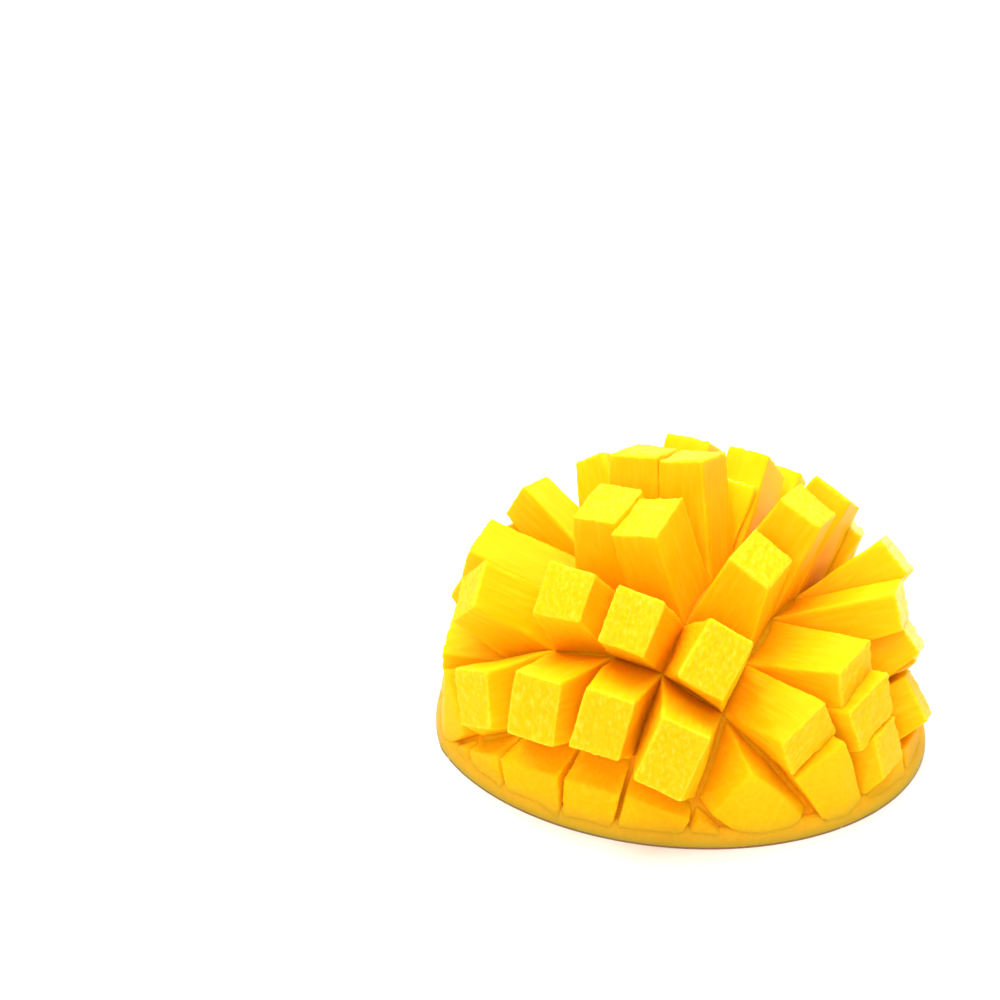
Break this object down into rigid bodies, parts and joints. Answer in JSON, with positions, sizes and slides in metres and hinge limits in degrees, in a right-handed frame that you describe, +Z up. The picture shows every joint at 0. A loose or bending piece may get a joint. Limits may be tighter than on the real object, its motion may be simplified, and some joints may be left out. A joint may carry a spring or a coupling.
{
  "type": "cubed mango half",
  "caption": "Half mango scored into cubes and turned inside out, its cubes fanned over a hollow dome of skin that stands on its rim.",
  "frame": {"origin": "bottom centre of the bounding box, on the surface that the skin's rim stands on", "axes": "+Z up, X along the long axis of the oval rim, -Y towards the front row of cubes that hangs over the rim"},
  "size_m": [0.1071, 0.0987, 0.0601],
  "materials": {
    "flesh": "moist cut fruit flesh, satin, faintly translucent",
    "skin": "smooth waxy fruit skin, green to yellow with a red blush"
  },
  "bodies": {
    "root": {"mango_half": "flesh"}
  },
  "joints": []
}
